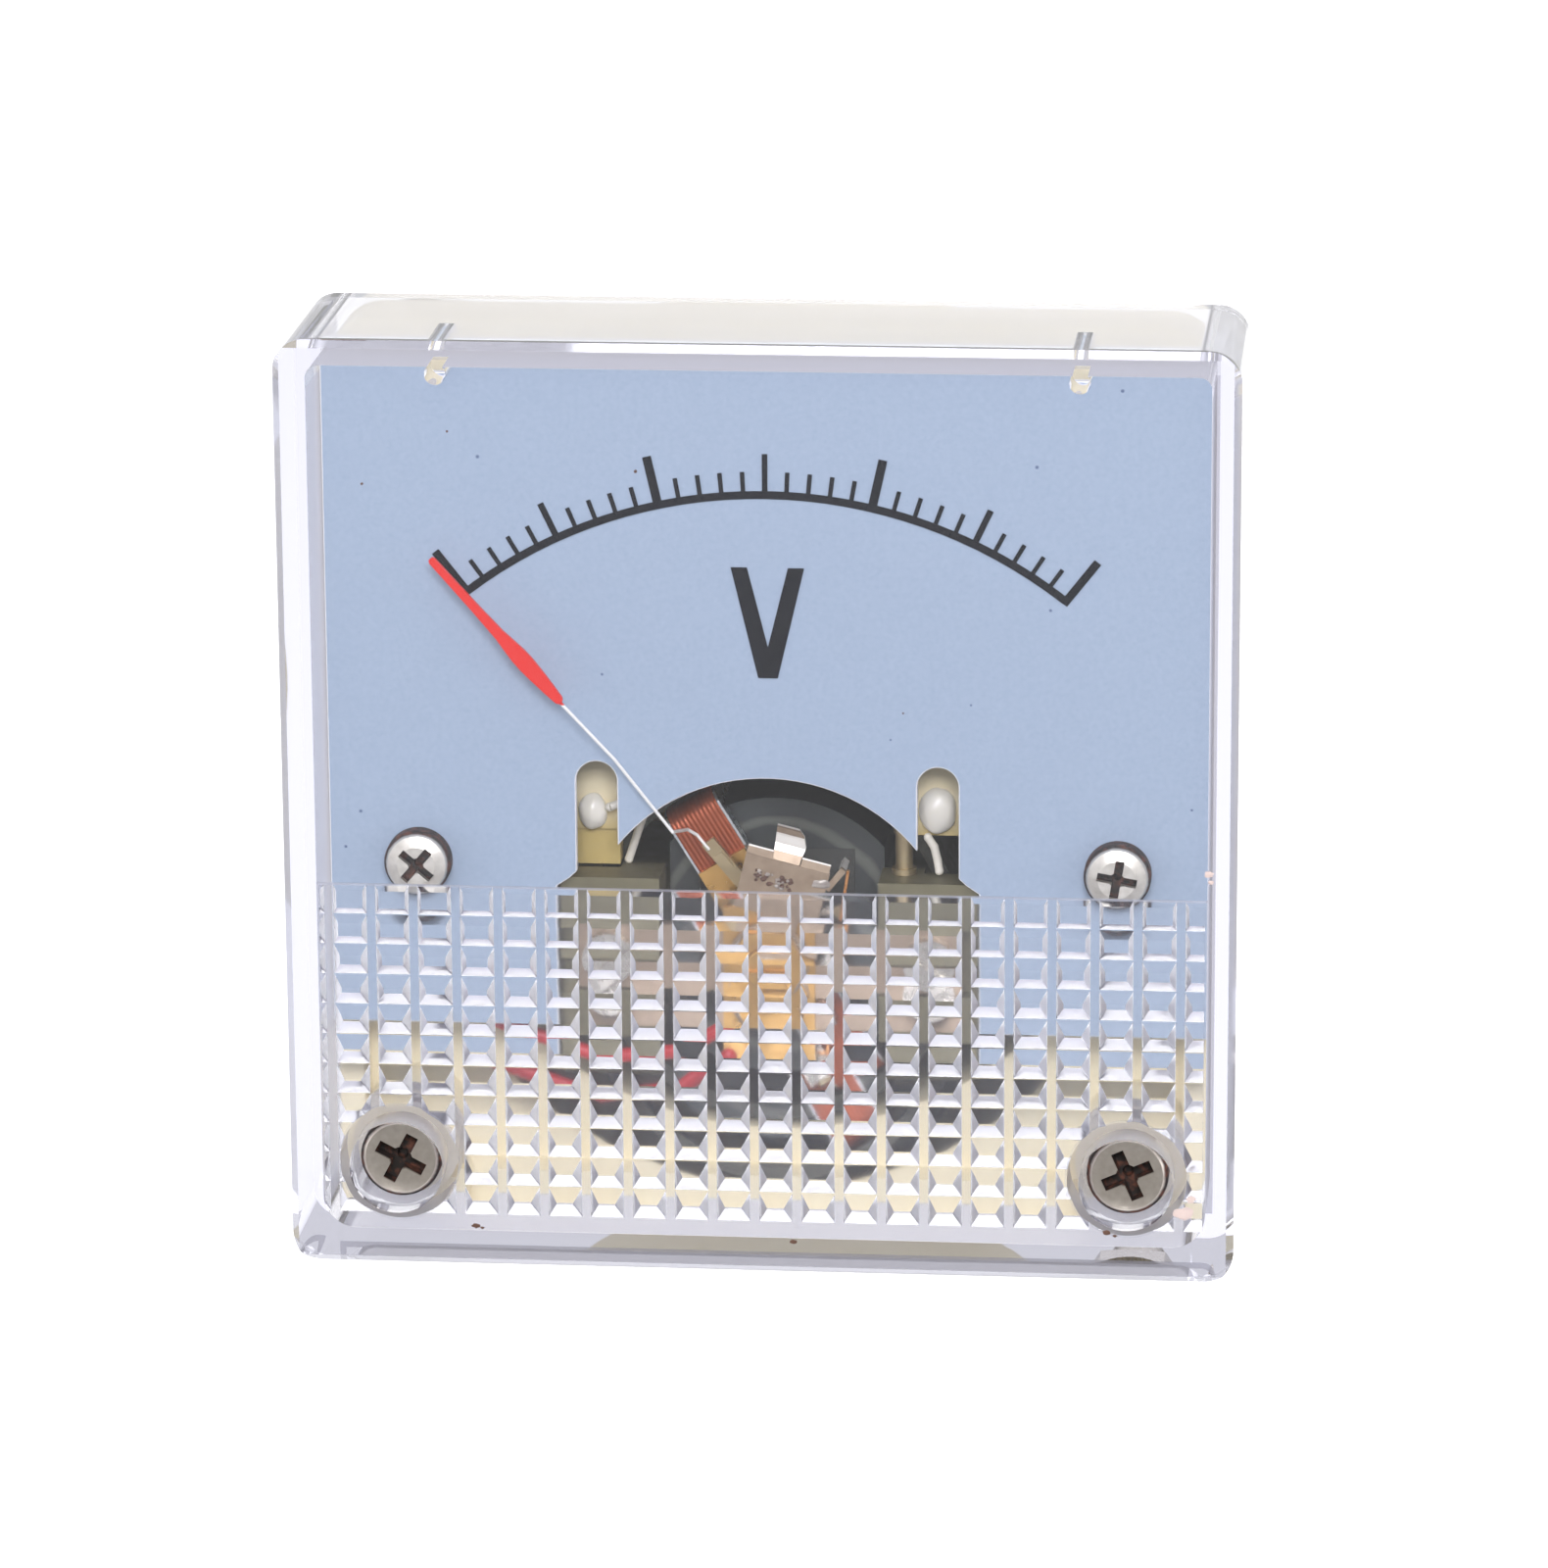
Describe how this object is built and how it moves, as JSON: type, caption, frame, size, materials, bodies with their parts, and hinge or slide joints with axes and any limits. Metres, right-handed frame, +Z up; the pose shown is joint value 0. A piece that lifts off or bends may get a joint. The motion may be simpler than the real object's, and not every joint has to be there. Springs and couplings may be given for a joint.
{
  "type": "analog panel meter",
  "caption": "Square moving-coil panel voltmeter with a clear faceted cover, pale blue dial, red pointer, visible movement and a round body with rear terminals.",
  "frame": {"origin": "on the axis of the round body, in the plane of the panel seat behind the square front", "axes": "+Z up, the dial faces -Y, +X to the right of someone reading the dial, the round body runs along +Y"},
  "size_m": [0.045, 0.04, 0.045],
  "materials": {
    "clear_cover": "clear moulded plastic, gloss",
    "ivory_base": "ivory moulded plastic, satin",
    "dial_paint": "pale blue, matt",
    "scale_ink": "black ink",
    "nickel": "nickel plated",
    "steel_dark": "dark iron",
    "frame_cast": "dull cast zinc",
    "magnet": "dark sintered magnet",
    "brass": "satin brass",
    "nickel_beige": "warm nickel",
    "jewel": "ruby",
    "pointer_paint": "red and bare aluminium",
    "copper": "enamelled copper wire",
    "aluminium": "bright",
    "spring_bronze": "phosphor bronze",
    "white_plastic": "white sleeve",
    "glue": "set glue",
    "red_plastic": "red insulation",
    "resistor_body": "beige lacquer"
  },
  "bodies": {
    "case": {"front_cover": "clear_cover", "cover_screw_left": "nickel", "cover_screw_right": "nickel", "case_base": "ivory_base", "dial_plate": "dial_paint", "dial_scale": "scale_ink", "dial_screw_left": "nickel", "dial_screw_right": "nickel", "yoke_ring": "steel_dark", "pole_sleeve": "steel_dark", "core_magnet": "magnet", "movement_frame": "frame_cast", "movement_screws": "nickel", "front_bridge": "nickel_beige", "bridge_screws": "nickel", "bush_plate": "brass", "regulator_washer": "nickel", "front_jewel_screw": "brass", "front_jewel": "jewel", "front_lock_nut": "brass", "rear_jewel_screw": "brass", "rear_jewel": "jewel", "rear_lock_nut": "brass", "rear_spring_tag": "brass", "lead_post": "nickel_beige", "lead_left": "white_plastic", "lead_right": "white_plastic", "glue_bead_left": "glue", "glue_bead_right": "glue", "red_lead": "red_plastic", "series_resistor": "resistor_body", "resistor_wires": "nickel", "terminal_tag_left": "brass", "terminal_tag_right": "brass", "terminal_stud_left": "brass", "terminal_stud_right": "brass", "terminal_washers": "nickel", "solder_lugs": "brass", "terminal_nuts": "brass", "panel_studs": "nickel", "panel_washers": "nickel", "panel_nuts": "nickel"},
    "pointer_assembly": {"pointer": "pointer_paint", "pointer_holder": "nickel_beige", "counterweights": "nickel", "coil_winding": "copper", "coil_former": "aluminium", "front_pivot_seat": "brass", "rear_pivot_seat": "brass", "front_pivot": "nickel", "rear_pivot": "nickel", "front_hairspring": "spring_bronze", "rear_hairspring": "spring_bronze", "front_collet": "brass", "rear_collet": "brass"},
    "regulator": {"zero_regulator": "nickel_beige"}
  },
  "joints": [
    {"name": "pointer_turn", "type": "hinge", "parent": "case", "child": "pointer_assembly", "pos_m": [0, -0.0026, -0.0086], "axis": [0, 1, 0], "range_deg": [-3, 79.2], "stiffness_Nm_per_rad": 0.000007, "deforming": ["front_hairspring", "rear_hairspring"]},
    {"name": "zero_turn", "type": "hinge", "parent": "case", "child": "regulator", "pos_m": [0, -0.0051, -0.0086], "axis": [0, 1, 0], "range_deg": [-8, 8]}
  ]
}
